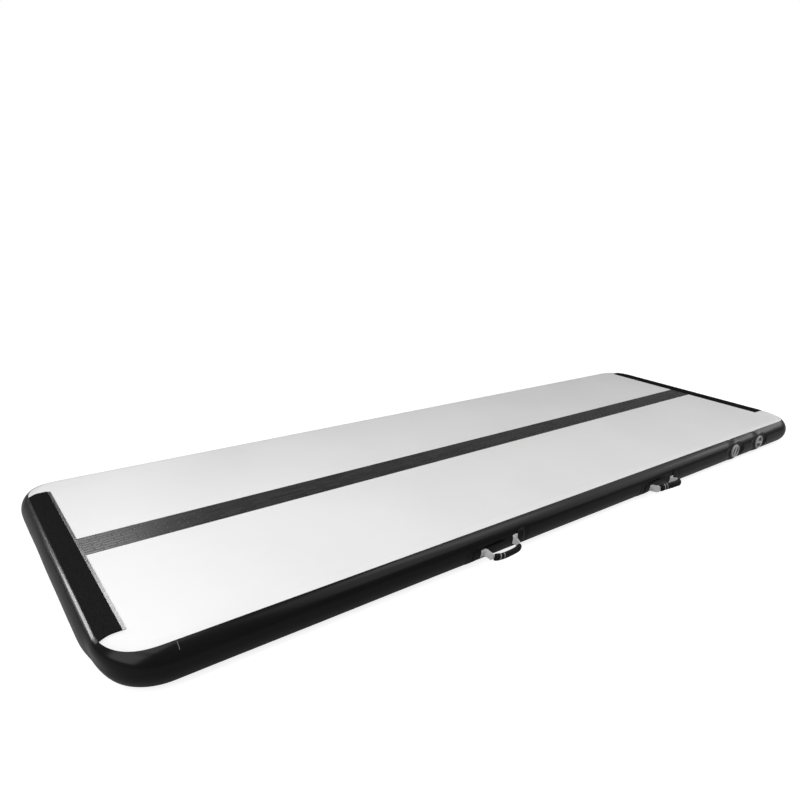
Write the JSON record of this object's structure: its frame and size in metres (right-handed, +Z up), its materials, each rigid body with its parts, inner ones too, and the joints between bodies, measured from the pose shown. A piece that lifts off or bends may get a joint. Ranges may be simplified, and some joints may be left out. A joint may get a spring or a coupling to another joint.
{
  "type": "air track mat",
  "caption": "Inflatable gymnastics mat: flat light deck with a dark centre stripe, rounded black side wall, hook-and-loop ends, webbing carry handles and air valves.",
  "frame": {"origin": "centre of the underside, on the floor", "axes": "+X along the mat towards its valve end, +Y across it to the back side, +Z up; the valves are in the front (-Y) wall"},
  "size_m": [3, 1.097, 0.1032],
  "materials": {
    "light_pvc": "light grey PVC-coated cloth, satin",
    "base_pvc": "black PVC-coated cloth, matt",
    "black_pvc": "black PVC-coated cloth, semi-gloss",
    "stripe_pvc": "black embossed PVC film",
    "pile": "black hook-and-loop pile",
    "core_cloth": "woven polyester drop-stitch",
    "webbing": "grey polyester webbing",
    "grip_rubber": "black soft grip",
    "valve_plastic": "grey moulded plastic",
    "cap_plastic": "grey moulded plastic",
    "seal_rubber": "black rubber",
    "spring_steel": "spring steel wire"
  },
  "bodies": {
    "mat": {"deck_skin": "light_pvc", "base_skin": "base_pvc", "front_wall": "black_pvc", "valve_wall": "black_pvc", "back_wall": "black_pvc", "left_wall": "black_pvc", "right_wall": "black_pvc", "left_patch": "black_pvc", "right_patch": "black_pvc", "front_left_seam_tape": "black_pvc", "front_right_seam_tape": "black_pvc", "back_left_seam_tape": "black_pvc", "back_right_seam_tape": "black_pvc", "valve_seam_tape": "black_pvc", "drop_stitch_core": "core_cloth", "centre_stripe": "stripe_pvc", "left_loop_strip": "pile", "right_hook_strip": "pile", "handle_1_tab_a": "webbing", "handle_1_anchor_a": "black_pvc", "handle_1_tab_b": "webbing", "handle_1_anchor_b": "black_pvc", "handle_2_tab_a": "webbing", "handle_2_anchor_a": "black_pvc", "handle_2_tab_b": "webbing", "handle_2_anchor_b": "black_pvc", "handle_3_tab_a": "webbing", "handle_3_anchor_a": "black_pvc", "handle_3_tab_b": "webbing", "handle_3_anchor_b": "black_pvc", "handle_4_tab_a": "webbing", "handle_4_anchor_a": "black_pvc", "handle_4_tab_b": "webbing", "handle_4_anchor_b": "black_pvc", "valve_1_body": "valve_plastic", "valve_1_nut": "valve_plastic", "valve_1_gasket": "seal_rubber", "valve_1_spring": "spring_steel", "valve_2_body": "valve_plastic", "valve_2_nut": "valve_plastic", "valve_2_gasket": "seal_rubber", "valve_2_spring": "spring_steel"},
    "handle_1": {"handle_1_strap": "webbing", "handle_1_grip": "grip_rubber"},
    "handle_2": {"handle_2_strap": "webbing", "handle_2_grip": "grip_rubber"},
    "handle_3": {"handle_3_strap": "webbing", "handle_3_grip": "grip_rubber"},
    "handle_4": {"handle_4_strap": "webbing", "handle_4_grip": "grip_rubber"},
    "valve_1_seal": {"valve_1_cap_seal": "seal_rubber"},
    "valve_1_cap": {"valve_1_cap": "cap_plastic"},
    "valve_1_stem": {"valve_1_stem": "valve_plastic", "valve_1_diaphragm": "seal_rubber"},
    "valve_2_seal": {"valve_2_cap_seal": "seal_rubber"},
    "valve_2_cap": {"valve_2_cap": "cap_plastic"},
    "valve_2_stem": {"valve_2_stem": "valve_plastic", "valve_2_diaphragm": "seal_rubber"}
  },
  "joints": [
    {"name": "handle_1_swing", "type": "hinge", "parent": "mat", "child": "handle_1", "pos_m": [-0.439, -0.5133, 0.0435], "axis": [0.9969, 0, 0.0785], "range_deg": [-94, 41]},
    {"name": "handle_2_swing", "type": "hinge", "parent": "mat", "child": "handle_2", "pos_m": [0.386, -0.5133, 0.0435], "axis": [0.9986, 0, 0.0523], "range_deg": [-73, 62]},
    {"name": "handle_3_swing", "type": "hinge", "parent": "mat", "child": "handle_3", "pos_m": [-0.439, 0.5133, 0.0435], "axis": [-0.9969, 0, 0.0785], "range_deg": [-94, 41]},
    {"name": "handle_4_swing", "type": "hinge", "parent": "mat", "child": "handle_4", "pos_m": [0.386, 0.5133, 0.0435], "axis": [-0.9986, 0, 0.0523], "range_deg": [-73, 62]},
    {"name": "valve_1_cap_pull", "type": "slide", "parent": "mat", "child": "valve_1_seal", "axis": [0, -1, 0], "range_m": [0, 0.05]},
    {"name": "valve_1_cap_turn", "type": "hinge", "parent": "valve_1_seal", "child": "valve_1_cap", "pos_m": [0.93, -0.494, 0.052], "axis": [0, -1, 0], "range_deg": [0, 90]},
    {"name": "valve_1_stem_push", "type": "slide", "parent": "mat", "child": "valve_1_stem", "axis": [0, 1, 0], "range_m": [0, 0.006], "stiffness_N_per_m": 400, "springref_m": -0.004, "deforming": ["valve_1_spring"]},
    {"name": "valve_2_cap_pull", "type": "slide", "parent": "mat", "child": "valve_2_seal", "axis": [0, -1, 0], "range_m": [0, 0.05]},
    {"name": "valve_2_cap_turn", "type": "hinge", "parent": "valve_2_seal", "child": "valve_2_cap", "pos_m": [1.135, -0.494, 0.052], "axis": [0, -1, 0], "range_deg": [0, 90]},
    {"name": "valve_2_stem_push", "type": "slide", "parent": "mat", "child": "valve_2_stem", "axis": [0, 1, 0], "range_m": [0, 0.006], "stiffness_N_per_m": 400, "springref_m": -0.004, "deforming": ["valve_2_spring"]}
  ]
}
